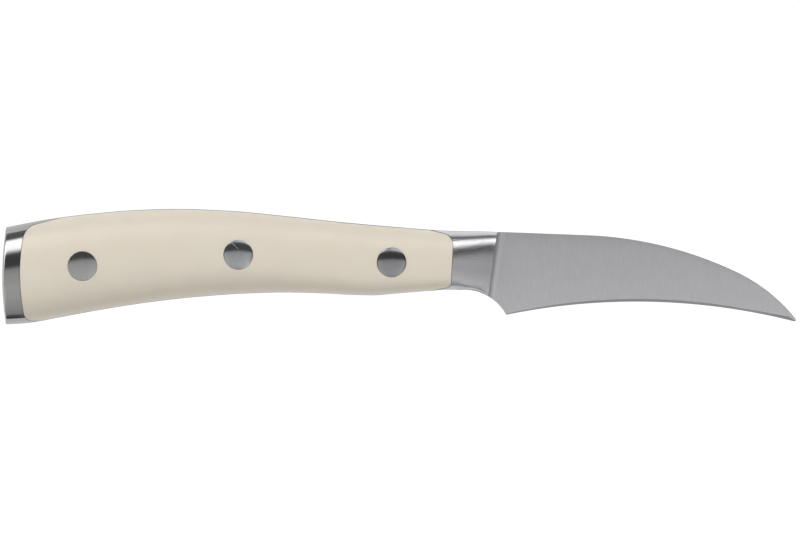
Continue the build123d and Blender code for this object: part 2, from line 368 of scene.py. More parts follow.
def arcPoints(centre, radius, start, end, count):
    # points on a circle from the direction of one point to that of another, both included
    a = math.atan2(start[1] - centre[1], start[0] - centre[0])
    b = math.atan2(end[1] - centre[1], end[0] - centre[0])
    b += 2 * math.pi * round((a - b) / (2 * math.pi))
    t = np.linspace(a, b, count)
    return np.column_stack([centre[0] + radius * np.cos(t), centre[1] + radius * np.sin(t)])


def spread(path, count):
    # a path of points divided into equal lengths
    run = np.concatenate([[0], np.cumsum(np.linalg.norm(np.diff(path, axis=0), axis=1))])
    at = np.linspace(0, run[-1], count)
    return np.column_stack([np.interp(at, run, path[:, 0]), np.interp(at, run, path[:, 1])])


def makeBlade():
    # rings across the thickness, each along a line from spine to edge; both lines end on the point's round
    foot = blade["shoulderFoot"] - blade["rootBack"]
    topX = foot + lean * blade["spineHeight"]
    top = np.array([topX, blade["spineHeight"] - topX * math.tan(fall)])
    bottomX = foot - lean * blade["heelDepth"]
    bottom = np.array([bottomX, edgeCentre[1] + math.sqrt(edgeRadius**2 - (bottomX - edgeCentre[0]) ** 2)])
    nibTurn = math.radians(blade["nibTurn"])
    nib = pointCentre + blade["tipRadius"] * np.array([math.cos(nibTurn), math.sin(nibTurn)])
    straightSteps, bendSteps, noseSteps = blade["spineSteps"]
    spine = np.vstack([
        np.linspace(top, bendStart, straightSteps)[:-1],
        arcPoints(bendCentre, blade["bendRadius"], bendStart, noseStart, bendSteps)[:-1],
        arcPoints(noseCentre, noseRadius, noseStart, noseEnd, noseSteps),
    ])
    edge = arcPoints(edgeCentre, edgeRadius, bottom, edgeEnd, blade["edgeSteps"])
    spine, edge = [
        np.vstack([spread(path, blade["rings"]),
                   arcPoints(pointCentre, blade["tipRadius"], end, nib, blade["tipRings"])[1:-1]])
        for path, end in ((spine, noseEnd), (edge, edgeEnd))]
    width = np.linalg.norm(spine - edge, axis=1)[:, None]
    down = (edge - spine) / width
    # places along each line: the round at the spine, the flat, the bevel
    roundSize = blade["spineRound"] * np.minimum(1, width / blade["roundFrom"])
    roundTurn = np.linspace(0, math.pi / 2, blade["roundSteps"])[None, :]
    roundOff = roundSize * (1 - np.cos(roundTurn))
    zEdge = flatHeight(edge[:, 0], edge[:, 1])[:, None]
    zSpine = flatHeight(spine[:, 0], spine[:, 1])[:, None]
    rise = (zSpine - zEdge) / width
    lowStart, lowEnd = blade["lowBevel"]
    low = np.clip((edge[:, :1] - lowStart) / (lowEnd - lowStart), 0, 1)
    bevelTan = math.tan(math.radians(blade["bevelAngle"])) * (1 - blade["lowBevelShare"] * low)
    bevel = np.minimum((zEdge - blade["edgeLand"] / 2) / (bevelTan - rise), width * blade["bevelMost"])
    roundEnd = roundOff[:, -1:]
    flatAt = roundEnd + (width - bevel - roundEnd) * np.linspace(0, 1, blade["flatSteps"])[None, 1:]
    at = np.hstack([roundOff, flatAt, width])
    sink = np.hstack([roundSize * (1 - np.sin(roundTurn)), np.zeros((len(width), blade["flatSteps"]))])
    z = zSpine + (zEdge - zSpine) * at / width - sink
    z[:, -1:] = blade["edgeLand"] / 2
    z = np.maximum(z, blade["edgeLand"] / 2)
    right = np.dstack([spine[:, None, :] + down[:, None, :] * at[:, :, None], z])
    left = right[:, ::-1] * np.array([1, 1, -1])
    ringPoints = np.concatenate([right, left], axis=1)
    return closedTube("bladeTool", ringPoints, ringPoints[0].mean(axis=0), [*nib, 0.0])


def makeHandleForm():
    # body of the handle: dome and rim at the butt, then ovals, with the last rings leaning like the shoulder
    turn = np.arange(handle["turns"])[None, :] / handle["turns"]
    butt = -handle["length"]
    centreY = (ovalPoint(butt, 0.0)[0] + ovalPoint(butt, 0.5)[0]) / 2
    bow = handle["bowRadius"]
    wall = np.full((1, handle["turns"]), butt)
    for _ in range(6):  # wall and dome meet where each gives the other's place
        y, z = ovalPoint(wall, turn)
        wall = butt + bow - np.sqrt(bow**2 - (y - centreY) ** 2 - z**2)
    y, z = ovalPoint(wall, turn)
    out = np.sqrt((y - centreY) ** 2 + z**2)
    # dome: rings shrink from the wall to the middle on the sphere
    rim = handle["rimRadius"]
    inner = 1 - rim / out
    shares = np.linspace(0, 1, handle["domeRings"] + 1)[1:, None] * inner
    domeY = centreY + (y - centreY) * shares
    domeZ = z * shares
    domeX = butt + bow - np.sqrt(bow**2 - (domeY - centreY) ** 2 - domeZ**2)
    dome = np.stack([domeX, domeY, domeZ], axis=-1)
    # rim: from the dome's end to the wall, a quarter round
    bend = np.linspace(0, math.pi / 2, handle["rimSteps"] + 1)[1:, None]
    wallIn = wall + rim
    yWall, zWall = ovalPoint(wallIn, turn)
    corner = np.stack([wall, y, z], axis=-1)
    toDome = dome[-1:] - corner
    toWall = np.stack([wallIn, yWall, zWall], axis=-1) - corner
    rimPoints = corner + toDome * (1 - np.sin(bend))[:, :, None] + toWall * (1 - np.cos(bend))[:, :, None]
    # wall: stations run from the rim to the front, and their lean grows as 3 t^2 - 2 t^3
    frontFace = blade["shoulderFoot"] + handle["frontPast"]
    step = np.linspace(0, 1, handle["stations"] + 1)[1:, None]
    base = wallIn + (frontFace - wallIn) * step
    ramp = np.clip((base - handle["leanStart"]) / (frontFace - handle["leanStart"]), 0, 1)
    tilt = lean * ramp * ramp * (3 - 2 * ramp)
    x = base
    for _ in range(5):  # every point moves on by its own height, which depends on where it is
        x = base + tilt * ovalPoint(x, turn)[0]
    yBody, zBody = ovalPoint(x, turn)
    body = np.stack([x, yBody, zBody], axis=-1)
    rings = np.concatenate([dome, rimPoints, body])
    return closedTube("handleForm", rings, [butt, centreY, 0.0], rings[-1].mean(axis=0))


cuts = {
    "shoulderPast": (5.0, 8.0),  # the shoulder's cut goes this far above the spine and below the heel
    "shoulderReach": 12.0,
    "shoulderSteps": 40,
    "notchHalf": 9.0,
    "notchRings": 91,
    "notchSpokes": 360,
    "spineBack": 1.0,  # the cut over the spine goes from this far behind zero
    "spineEnd": 6.0,   # to this far ahead of it
    "spineTop": 20.0,
    "spineHalf": 9.0,
    "spineLift": 0.05,
}


def makeShoulderTool():
    # section: quarter hollow, then along the flat; carried down the shoulder's line
    normal = unitVector(np.array([-flatFit[1], -flatFit[2], 1.0]))
    above, below = cuts["shoulderPast"]
    ends = []
    for y in (blade["spineHeight"] + above, -blade["heelDepth"] - below):
        x = blade["shoulderFoot"] + lean * y
        ends.append(np.array([x, y, flatHeight(x, y) - blade["tuck"]]))
    downward = unitVector(ends[1] - ends[0])
    forward = np.cross(normal, downward)
    if forward[0] < 0:
        forward = -forward
    radius = blade["shoulderRadius"]
    reach = cuts["shoulderReach"]
    bend = np.linspace(math.pi, 1.5 * math.pi, cuts["shoulderSteps"])
    hollow = np.column_stack([radius * np.cos(bend), radius + radius * np.sin(bend)])
    outline = np.vstack([hollow, [[reach, 0.0], [reach, reach], [-radius, reach]]])
    sides = [end + outline[:, :1] * forward + outline[:, 1:] * normal for end in ends]
    return outwards(sweptOutline("shoulderTool", *sides))


def makeNotchTool():
    # finger notch: a cylinder through the knife, waisted in the middle, so that the notch is crowned
    radius = blade["notchRadius"]
    middleY = -blade["notchDepth"] - radius
    middleX = blade["heelReach"] - math.sqrt(radius**2 - (middleY + blade["heelDepth"]) ** 2)
    half, rows, spokes = cuts["notchHalf"], cuts["notchRings"], cuts["notchSpokes"]
    z = np.linspace(-half, half, rows)[:, None]
    around = np.linspace(0, 2 * math.pi, spokes + 1)[None, :-1]
    size = radius + z**2 / (2 * blade["notchCrown"])
    rings = np.stack([middleX + size * np.cos(around), middleY + size * np.sin(around),
                      np.broadcast_to(z, (rows, spokes))], axis=-1)
    return outwards(closedTube("notchTool", rings, [middleX, middleY, -half], [middleX, middleY, half]))


# Scales
scales = {
    "capLength": 4.15,
    "bolsterLength": 10.5,
    "rearBow": 1.3,
    "frontLean": 0.6,
    "rearTopShare": 0.912,
    "rearBottomShare": 0.961,
    "frontTopShare": 0.849,
    "frontBottomShare": 0.888,
    "topSlope": 14.7,
    "bottomSlope": 9.7,
    "rearTopRadius": 4.3,
    "rearBottomRadius": 2.2,
    "frontTopRadius": 2.8,
    "frontBottomRadius": 1.2,
    "tangHalf": 1.15,
    "scaleIn": 0.03,   # open line between scale and steel, drawn a little wider than the real joint
    "recessOut": 0.1,
    "toolHalf": 14.0,  # well outside the handle
    "bowSteps": 40,
    "topSteps": 18,    # along each round at the back, and at the belly
    "lowSteps": 14,
}


def roundedCorner(before, corner, after, radius, count):
    # arc of a given radius tangent to both lines that meet in a corner
    a = unitVector(before - corner)
    b = unitVector(after - corner)
    half = math.acos(np.clip(a @ b, -1, 1)) / 2
    centre = corner + unitVector(a + b) * radius / math.sin(half)
    reach = radius / math.tan(half)
    return arcPoints(centre, radius, corner + a * reach, corner + b * reach, count)


def scaleOutline(grow):
    # the scale's side view: bowed rear end, two roof lines over the back, two under the belly, four rounds
    rear = -handle["length"] + scales["capLength"] - grow
    rearX = rear + scales["rearBow"]
    front = -scales["bolsterLength"] + grow
    frontLow = front - scales["frontLean"]
    rearTop = np.array([rearX, ovalAt(rearX)[0] * scales["rearTopShare"] + grow])
    rearBottom = np.array([rearX, -ovalAt(rearX)[1] * scales["rearBottomShare"] - grow])
    frontTop = np.array([front, ovalAt(front)[0] * scales["frontTopShare"] + grow])
    frontBottom = np.array([frontLow, -ovalAt(frontLow)[1] * scales["frontBottomShare"] - grow])
    rise = math.tan(math.radians(scales["topSlope"]))
    dip = math.tan(math.radians(scales["bottomSlope"]))
    ridgeX = (frontTop[1] - rearTop[1] + rise * (front + rearX)) / (2 * rise)
    ridge = np.array([ridgeX, rearTop[1] + rise * (ridgeX - rearX)])
    keel = np.array([frontLow - (frontBottom[1] - rearBottom[1]) / dip, rearBottom[1]])
    bowCentre, bowRadius = circleThrough(rearBottom, rearTop, scales["rearBow"])

    def bowCorner(corner, far, radius):
        # round between the bowed end and a roof line: its centre is radius inside both
        unit = unitVector(far - corner)
        normal = np.array([-unit[1], unit[0]])
        normal = normal * np.sign((bowCentre - corner) @ normal)
        start = corner + normal * radius - bowCentre
        along = start @ unit
        reach = -along - math.sqrt(along**2 - start @ start + (bowRadius - radius) ** 2)
        centre = bowCentre + start + unit * reach
        onBow = bowCentre + unitVector(centre - bowCentre) * bowRadius
        return centre, onBow, centre - normal * radius

    topRadius = scales["rearTopRadius"] + grow
    lowRadius = scales["rearBottomRadius"] + grow
    topCentre, topBow, topLine = bowCorner(rearTop, ridge, topRadius)
    lowCentre, lowBow, lowLine = bowCorner(rearBottom, keel, lowRadius)
    return np.vstack([
        arcPoints(lowCentre, lowRadius, lowLine, lowBow, scales["lowSteps"]),
        arcPoints(bowCentre, bowRadius, lowBow, topBow, scales["bowSteps"])[1:-1],
        arcPoints(topCentre, topRadius, topBow, topLine, scales["topSteps"]),
        [ridge],
        roundedCorner(ridge, frontTop, frontBottom, scales["frontTopRadius"] + grow, scales["topSteps"]),
        roundedCorner(frontTop, frontBottom, keel, scales["frontBottomRadius"] + grow, scales["lowSteps"]),
        [keel],
    ])


def roundBar(name, x, y, radius, low, high, spokes):
    around = np.arange(spokes) * 2 * math.pi / spokes
    return prism(name, np.column_stack([x + radius * np.cos(around), y + radius * np.sin(around)]), low, high)


def scaleTool(grow, side):
    # the scale's outline from the tang's flat to well outside the handle
    low, high = sorted((side * scales["tangHalf"], side * scales["toolHalf"]))
    return prism("scaleTool", scaleOutline(grow), low, high)


def makeBlank(form):
    # the handle's form less shoulders, recesses, rivet holes and notch, joined with the blade
    shoulder = makeShoulderTool()
    otherShoulder = mirrored("otherShoulder", shoulder)
    back, end, top = cuts["spineBack"], cuts["spineEnd"], cuts["spineTop"]
    start = blade["spineHeight"] - blade["tuck"]
    overSpine = prism("overSpine", [
        (-back, start + back * math.tan(fall) + cuts["spineLift"]),
        (0.0, start),
        (end, start - end * math.tan(fall)),
        (end, top), (-back, top)], -cuts["spineHalf"], cuts["spineHalf"])
    recesses = [scaleTool(scales["recessOut"], side) for side in (1, -1)]
    holes = [
        roundBar("hole", *rivetSeat(share)[:2], rivets["sleeveRadius"] + rivets["clearance"],
                 -rivets["holeHalf"], rivets["holeHalf"], rivets["holeSpokes"])
        for share in rivets["stationShares"]]
    steps = [("DIFFERENCE", tool) for tool in [shoulder, otherShoulder, overSpine, *recesses, *holes]]
    steps += [("UNION", makeBlade()), ("DIFFERENCE", makeNotchTool())]
    carve(form, steps)


def makeScale(form):
    # the handle's form inside the scale's outline, with a bore and a seat for each rivet
    steps = [("INTERSECT", scaleTool(-scales["scaleIn"], 1))]
    boreRadius = rivets["sleeveRadius"] + rivets["clearance"]
    for share in rivets["stationShares"]:
        x, y, floor = rivetSeat(share)
        bore = roundBar("bore", x, y, boreRadius, 0.0, floor + rivets["boreOver"], rivets["boreSpokes"])
        seat = roundBar("seat", x, y, rivets["headRadius"], floor, rivets["seatTop"], rivets["spokes"])
        steps += [("DIFFERENCE", bore), ("DIFFERENCE", seat)]
    carve(form, steps)


def makeRivetHalf(name, share, dome, shankRadius, shankEnd, bore=None):
    # rings from the middle of the ground head, over its rim, down the side, in to the shank and to its end
    x, y, floor = rivetSeat(share)
    radius = rivets["headRadius"] - rivets["gap"]
    rim = rivets["edgeRound"]
    around = (np.arange(rivets["spokes"]) * 2 * math.pi / rivets["spokes"])[None, :]

    def ringsAt(size, height=None, lift=0.0):
        # circles round the rivet's middle, at one height or lifted off the handle's surface
        ringX = x + size * np.cos(around)
        ringY = y + size * np.sin(around)
        z = handleSurface(ringX, ringY) + lift if height is None else np.full(ringX.shape, height)
        return np.stack([ringX, ringY, z], axis=-1)

    def domed(size):
        # nearly flat in the middle and falling towards the rim: height = dome * (rise - (r / R)^3)
        return dome * (rivets["domeRise"] - (size / rivets["headRadius"]) ** 3)

    faceSize = (radius - rim) * np.linspace(0, 1, rivets["faceSteps"])[1:, None]
    bend = np.linspace(0, math.pi / 2, rivets["rimSteps"])[1:, None]
    rimSize = radius - rim * (1 - np.sin(bend))
    inside = [(radius, floor), (shankRadius, floor), (shankRadius, shankEnd)]
    if bore:
        inside += [(bore, shankEnd), (bore, floor - rivets["boreShort"])]
    rings = np.concatenate([
        ringsAt(faceSize, lift=domed(faceSize)),
        ringsAt(rimSize, lift=domed(rimSize) - rim * (1 - np.cos(bend))),
        *[ringsAt(size, height) for size, height in inside]])
    middle = [x, y, handleSurface(x, y) + domed(0.0)]
    return outwards(closedTube(name, rings, middle, [x, y, inside[-1][1]]))


# Materials
def toLinear(code):
    # sRGB hex to the linear colour that shaders take
    channels = np.array([int(code[i:i + 2], 16) for i in (1, 3, 5)]) / 255
    linear = np.where(channels <= 0.04045, channels / 12.92, ((channels + 0.055) / 1.055) ** 2.4)
    return (*linear.tolist(), 1.0)


# settings of a node that multiplies two colours
multiply = {"data_type": "RGBA", "blend_type": "MULTIPLY", 0: 1.0}


def addNode(tree, kind, settings=None, links=None):
    # a setting is a property, the value of an input, or a ramp's stops as pairs of place and grey
    node = tree.nodes.new(kind)
    for key, value in (settings or {}).items():
        if key == "stops":
            elements = node.color_ramp.elements
            while len(elements) < len(value):
                elements.new(0.5)
            for element, (place, grey) in zip(elements, value):
                element.position = place
                element.color = (grey, grey, grey, 1.0)
        elif isinstance(key, str) and hasattr(node, key):
            setattr(node, key, value)
        else:
            node.inputs[key].default_value = value
    for key, source in (links or {}).items():
        tree.links.new(source, node.inputs[key])
    return node


def newMaterial(name):
    material = bpy.data.materials.new(name)
    material.use_nodes = True
    material.node_tree.nodes.clear()
    return material, material.node_tree


def groundSteel(name, look):
    # stainless steel off a fine belt: the eye sees a grey mirror, blurred across the grinding lines
    material, tree = newMaterial(name)
    place = addNode(tree, "ShaderNodeTexCoord").outputs["Object"]
    apart = addNode(tree, "ShaderNodeSeparateXYZ", None, {"Vector": place})
    # the tone's change with height is painted shade and painted reflection on the blade and the bolster,
    # standing in for how the studio's light falls
    height = addNode(tree, "ShaderNodeMapRange", {1: look["low"] / 1000, 2: look["high"] / 1000},
                     {0: apart.outputs["Y"]})
    lines = addNode(tree, "ShaderNodeMapping", {"Scale": look["lineScale"]}, {"Vector": place})
    grain = addNode(tree, "ShaderNodeTexNoise", {"Scale": 1.0, "Detail": 3.0, "Roughness": 0.6},
                    {"Vector": lines.outputs["Vector"]}).outputs["Fac"]
    base = addNode(tree, "ShaderNodeMix",
                   {"data_type": "RGBA", 6: toLinear(look["edge"]), 7: toLinear(look["back"])},
                   {0: height.outputs[0]})
    shade, finish = [
        addNode(tree, "ShaderNodeValToRGB", {"stops": stops}, {"Fac": grain}).outputs["Color"]
        for stops in (((0.3, 1.0 - look["streaks"]), (0.7, 1.0)),
                      ((0.35, look["smooth"]), (0.65, look["rough"])))]
    tint = addNode(tree, "ShaderNodeMix", multiply, {6: base.outputs[2], 7: shade})
    bump = addNode(tree, "ShaderNodeBump", {"Strength": look["bump"], "Distance": look["depth"] / 1000},
                   {"Height": grain})
    if "scratch" in look:
        # one short scratch, where the polish is broken: a small box, turned, in which the steel is rougher
        *middle, turn = look["scratch"]
        spot = addNode(tree, "ShaderNodeMapping", {
            "vector_type": "TEXTURE", "Location": (np.array(middle) / 1000 + zero).tolist(),
            "Rotation": (0.0, 0.0, math.radians(turn))}, {"Vector": place})
        sides = addNode(tree, "ShaderNodeSeparateXYZ", None, {"Vector": spot.outputs["Vector"]})
        inside = None
        for axis, size in zip("XYZ", look["scratchSize"]):
            within = addNode(tree, "ShaderNodeMath", {"operation": "COMPARE", 1: 0.0, 2: size / 2000},
                             {0: sides.outputs[axis]}).outputs["Value"]
            inside = within if inside is None else addNode(
                tree, "ShaderNodeMath", {"operation": "MULTIPLY"}, {0: inside, 1: within}).outputs["Value"]
        finish = addNode(tree, "ShaderNodeMath", {"operation": "MULTIPLY_ADD", 1: look["scratchRough"]},
                         {0: inside, 2: finish}).outputs["Value"]
    surface = addNode(tree, "ShaderNodeBsdfPrincipled", {"Metallic": 1.0}, {
        "Base Color": tint.outputs[2], "Roughness": finish, "Normal": bump.outputs["Normal"]})
    addNode(tree, "ShaderNodeOutputMaterial", None, {"Surface": surface.outputs["BSDF"]})
    return material


def creamAcetal(name, look):
    # solid cream acetal, buffed: the eye sees a soft waxy body colour under a clear gloss
    material, tree = newMaterial(name)
    place = addNode(tree, "ShaderNodeTexCoord").outputs["Object"]
    cloud, fine = [
        addNode(tree, "ShaderNodeTexNoise", {"Scale": 1000 / size, "Detail": 2.0}, {"Vector": place})
        for size in (look["cloudSize"], look["grainSize"])]
    tint = addNode(tree, "ShaderNodeMix",
                   {"data_type": "RGBA", 6: toLinear(look["deep"]), 7: toLinear(look["pale"])},
                   {0: cloud.outputs["Fac"]})
    bump = addNode(tree, "ShaderNodeBump", {"Strength": look["bump"], "Distance": look["depth"] / 1000},
                   {"Height": fine.outputs["Fac"]})
    surface = addNode(tree, "ShaderNodeBsdfPrincipled", {
        "Roughness": look["roughness"], "IOR": look["ior"], "Subsurface Weight": look["soft"],
        "Subsurface Radius": (1.0, 0.8, 0.55), "Subsurface Scale": 0.0012},
        {"Base Color": tint.outputs[2], "Normal": bump.outputs["Normal"]})
    addNode(tree, "ShaderNodeOutputMaterial", None, {"Surface": surface.outputs["BSDF"]})
    return material


def mattSheet(name, colour):
    # matt card or board without any gloss: the eye sees an even grey
    material, tree = newMaterial(name)
    matt = addNode(tree, "ShaderNodeBsdfDiffuse", {"Color": toLinear(colour)})
    addNode(tree, "ShaderNodeOutputMaterial", None, {"Surface": matt.outputs["BSDF"]})
    return material


def setMaterials(piece, *materials):
    piece.data.materials.clear()
    for material in materials:
        piece.data.materials.append(material)


paint = {
    "seamBack": 2.0,          # seam walls are looked for from this far ahead of the butt
    "seamFront": 0.5,         # to this far ahead of the bolster's rear end
    "seamUnder": 0.1,         # and at least this far under the handle's surface
    "wallLean": 0.03,
    "hollowOver": 0.02,       # slack round the shoulder's hollow
    "hollowBack": 0.01,
    "tang": (-108.0, -14.6),  # the tang shows between here and here
    "tangUnder": 0.01,
    "bevelLean": 0.06,        # bevel and spine are told by how far they turn down or up
    "spineLean": 0.1,
}


def paintBlank(blank):
    # a material for every face: 0 satin blade and shoulder, 1 bolster, 2 butt cap, 3 the tang's edge and the
    # walls of the seams, painted dark as shade, 4 bevel and spine, the spine's darker grey being painted
    # shade along its edge
    mesh = blank.data
    centres, normals = [np.empty(len(mesh.polygons) * 3) for _ in range(2)]
    mesh.polygons.foreach_get("center", centres)
    mesh.polygons.foreach_get("normal", normals)
    x, y, z = ((centres.reshape(-1, 3) - zero) * 1000).T
    away = np.abs(z)
    outY, outZ = normals.reshape(-1, 3)[:, 1:].T
    surface = handleSurface(x, y)
    # the seam walls take the dark tang steel: painted shade in the gaps between scale and steel
    inSeam = (x > paint["seamBack"] - handle["length"]) & (x < paint["seamFront"] - scales["bolsterLength"])
    inSeam &= (away > scales["tangHalf"]) & (away < surface - paint["seamUnder"])
    inSeam &= np.abs(outZ) < paint["wallLean"]
    ahead = x - blade["shoulderFoot"] - lean * y
    inHollow = (ahead > -blade["shoulderRadius"] - paint["hollowBack"])
    inHollow &= away < np.minimum(surface - paint["hollowOver"],
                                  flatHeight(x, y) + blade["shoulderRadius"] + paint["hollowOver"])
    tangStart, tangEnd = paint["tang"]
    onTang = (away < scales["tangHalf"] - paint["tangUnder"]) & (x > tangStart) & (x < tangEnd)
    # the spine's faces join the bevel in the darker honed steel: painted shade along the spine's rounded edge
    onBevel = (away < blade["behindEdge"]) & (outY < -paint["bevelLean"] * np.abs(outZ))
    onBevel = (ahead > 0) & (onBevel | (outY > paint["spineLean"]))
    onCap = x < -handle["length"] / 2
    kind = np.select([onBevel, (ahead > 0) | inHollow, onTang | inSeam, onCap], [4, 0, 3, 2], 1)
    mesh.polygons.foreach_set("material_index", kind.astype(np.int32))


# Studio
studio = {
    "viewWidth": 188.0,       # millimetres across the picture
    "centre": (-23.03, 0.0),  # drawing place in the middle of the picture
    "cameraHeight": 600.0,
    "clips": (50.0, 5000.0),
    "strength": 13.5,         # radiance where the shares below come to 1
    "bands": (                # degrees from overhead towards the spine side, and the sky's share there
        (-180.0, 0.40), (-97.0, 0.40), (-95.0, 0.16), (-84.0, 0.16), (-70.0, 0.185), (-61.0, 0.21),
        (-46.0, 0.235), (-33.0, 0.265), (-18.0, 0.275), (-8.0, 0.25), (0.0, 0.235), (7.5, 0.20),
        (12.5, 0.035), (34.0, 0.035), (66.0, 0.035), (72.0, 0.06), (96.0, 0.06), (98.0, 0.40), (180.0, 0.40)),
    "endLights": (            # multiplied: how far a direction points along the knife, and a share for it
        (0.0, 0.5), (0.07, 0.5), (0.14, 0.55), (0.24, 0.61), (0.32, 0.44), (0.5, 0.38), (0.8, 0.41),
        (1.0, 0.42)),
    "fill": ((0.0, 0.4), (0.075, 0.4), (0.16, 0.9), (1.0, 0.9)),  # multiplied: more past both ends, edge side
    "softboxes": (            # added: shares by angle, times shares from the butt side to the point side
        (((33.0, 0.0), (42.0, 1.0), (63.0, 1.0), (70.0, 0.0)),
         ((-1.0, 0.33), (-0.3, 0.33), (-0.22, 0.2), (-0.12, 0.2), (-0.08, 0.0))),
        (((33.0, 0.0), (42.0, 1.0), (57.0, 1.0), (66.0, 0.0)),
         ((-0.12, 0.0), (-0.08, 0.03), (-0.03, 0.038), (0.03, 0.09), (0.13, 0.11), (0.22, 0.11),
          (0.32, 0.235), (1.0, 0.235)))),
    "edgeGap": ((-96.0, 1.0), (-94.0, 0.19), (-86.0, 0.19), (-82.0, 1.0)),  # multiplied: low on the edge side
    "edgeGapEnds": ((-0.03, 0.0), (0.01, 1.0), (1.0, 1.0)),  # and how far that reaches along the knife
    "readings": {             # what turns a place in those lists into a ramp's place: add, then divide
        "turn": (180.0, 360.0), "along": (1.0, 2.0), "endwise": (0.0, 1.0), "corner": (0.0, 1.0)},
    "table": ((-3000.0, 3000.0), (-3000.0, 3000.0)),  # x range and y range
    "tableColour": "#C6C6C6",
    "tableShare": 0.8,        # how much of the table that the camera sees is glow
    "seenGlow": 1.22,
    "steelGlow": 1.0,         # glow of the table as the steel sees it
    "nearOut": 3.0,           # how far out from the handle the table's shaded part is drawn
    "nearColour": "#E0E0E0",
    "nearHeight": 0.7,
    "nearSteps": 60,
    "cards": {                # dark cards lie beside the knife, seen only in its steel: x range and y range
        "spineCard": ((-3000.0, 3000.0), (110.0, 600.0)), "edgeCard": ((-150.0, -70.0), (-2000.0, -58.0))},
    "cardColour": "#484848",
    "cardHeight": 0.5,
}


def makeWorld():
    # softboxes and dark cards run along the knife: brightness depends on the angle about its long axis
    world = bpy.data.worlds.new("studioLight")
    bpy.context.scene.world = world
    world.use_nodes = True
    tree = world.node_tree
    tree.nodes.clear()
    place = addNode(tree, "ShaderNodeTexCoord").outputs["Generated"]
    split = addNode(tree, "ShaderNodeSeparateXYZ", None, {"Vector": place})
    # numbers worked out from a direction's x, y and z, each from those before it; corner = -|x| * y * z
    found = {axis: split.outputs[axis] for axis in "XYZ"}
    for name, operation, *terms in (
            ("angle", "ARCTAN2", "Y", "Z"),
            ("turn", "MULTIPLY_ADD", "angle", 0.5 / math.pi, 0.5),
            ("along", "MULTIPLY_ADD", "X", 0.5, 0.5),
            ("endwise", "ABSOLUTE", "X"),
            ("aside", "MULTIPLY", "endwise", "Y"),
            ("raised", "MULTIPLY", "aside", "Z"),
            ("corner", "MULTIPLY", "raised", -1.0)):
        values = {i: term for i, term in enumerate(terms) if not isinstance(term, str)}
        sources = {i: found[term] for i, term in enumerate(terms) if isinstance(term, str)}
        step = addNode(tree, "ShaderNodeMath", {"operation": operation, **values}, sources)
        found[name] = step.outputs["Value"]
    # every layer is the product of ramps that read those numbers
    layers = [(("turn", studio["bands"]), ("endwise", studio["endLights"]), ("corner", studio["fill"]))]
    layers += [(("turn", turns), ("along", ends)) for turns, ends in studio["softboxes"]]
    layers += [(("turn", studio["edgeGap"]),), (("along", studio["edgeGapEnds"]),)]
    products = []
    for layer in layers:
        product = None
        for source, pairs in layer:
            plus, over = studio["readings"][source]
            stops = [((at + plus) / over, value) for at, value in pairs]
            ramp = addNode(tree, "ShaderNodeValToRGB", {"stops": stops}, {"Fac": found[source]})
            product = ramp.outputs["Color"] if product is None else addNode(
                tree, "ShaderNodeMix", multiply, {6: product, 7: ramp.outputs["Color"]}).outputs[2]
        products.append(product)
    glow, *boxes, gap, gapEnds = products
    for box in boxes:
        glow = addNode(tree, "ShaderNodeMix", {**multiply, "blend_type": "ADD"}, {6: glow, 7: box}).outputs[2]
    gap = addNode(tree, "ShaderNodeMix", {"data_type": "RGBA", 6: (1.0, 1.0, 1.0, 1.0)}, {0: gapEnds, 7: gap})
    glow = addNode(tree, "ShaderNodeMix", multiply, {6: glow, 7: gap.outputs[2]}).outputs[2]
    light = addNode(tree, "ShaderNodeBackground", {"Strength": studio["strength"]}, {"Color": glow})
    white = addNode(tree, "ShaderNodeBackground", {"Color": (1.0, 1.0, 1.0, 1.0), "Strength": 1.0})
    path = addNode(tree, "ShaderNodeLightPath")
    both = addNode(tree, "ShaderNodeMixShader", None, {
        0: path.outputs["Is Camera Ray"], 1: light.outputs["Background"], 2: white.outputs["Background"]})
    addNode(tree, "ShaderNodeOutputWorld", None, {"Surface": both.outputs["Shader"]})


def makeSheet(name, places, faces, height, material, steelOnly=True):
    # a flat sheet over places in drawing millimetres, height millimetres above what the knife lies on
    mesh = bpy.data.meshes.new(name)
    corners = np.asarray(places) / 1000 + zero[:2]
    mesh.from_pydata([(x, y, height / 1000) for x, y in corners.tolist()], [], faces)
    mesh.materials.append(material)
    sheet = addObject(name, mesh)
    if steelOnly:
        sheet.visible_camera = sheet.visible_diffuse = False
        sheet.visible_transmission = sheet.visible_shadow = False


def rectangle(across, along):
    (left, right), (low, high) = across, along
    return [(left, low), (right, low), (right, high), (left, high)], [(0, 1, 2, 3)]


def makeTable():
    # white table: its own white to the eye and in the steel, plus the light on it, so that a shadow stays
    material, tree = newMaterial("whiteTable")
    table = addNode(tree, "ShaderNodeBsdfDiffuse", {"Color": toLinear(studio["tableColour"])})
    path = addNode(tree, "ShaderNodeLightPath")
    seen = addNode(tree, "ShaderNodeMath", {"operation": "MULTIPLY", 1: studio["tableShare"]},
                   {0: path.outputs["Is Camera Ray"]})
    inSteel = addNode(tree, "ShaderNodeMath", {"operation": "MAXIMUM"},
                      {0: path.outputs["Is Glossy Ray"], 1: path.outputs["Is Transmission Ray"]})
    surface = table.outputs["BSDF"]
    for share, strength in ((seen, studio["seenGlow"]), (inSteel, studio["steelGlow"])):
        glow = addNode(tree, "ShaderNodeEmission", {"Color": (1.0, 1.0, 1.0, 1.0), "Strength": strength})
        surface = addNode(tree, "ShaderNodeMixShader", None, {
            0: share.outputs["Value"], 1: surface, 2: glow.outputs["Emission"]}).outputs["Shader"]
    addNode(tree, "ShaderNodeOutputMaterial", None, {"Surface": surface})
    makeSheet("table", *rectangle(*studio["table"]), 0.0, material, steelOnly=False)


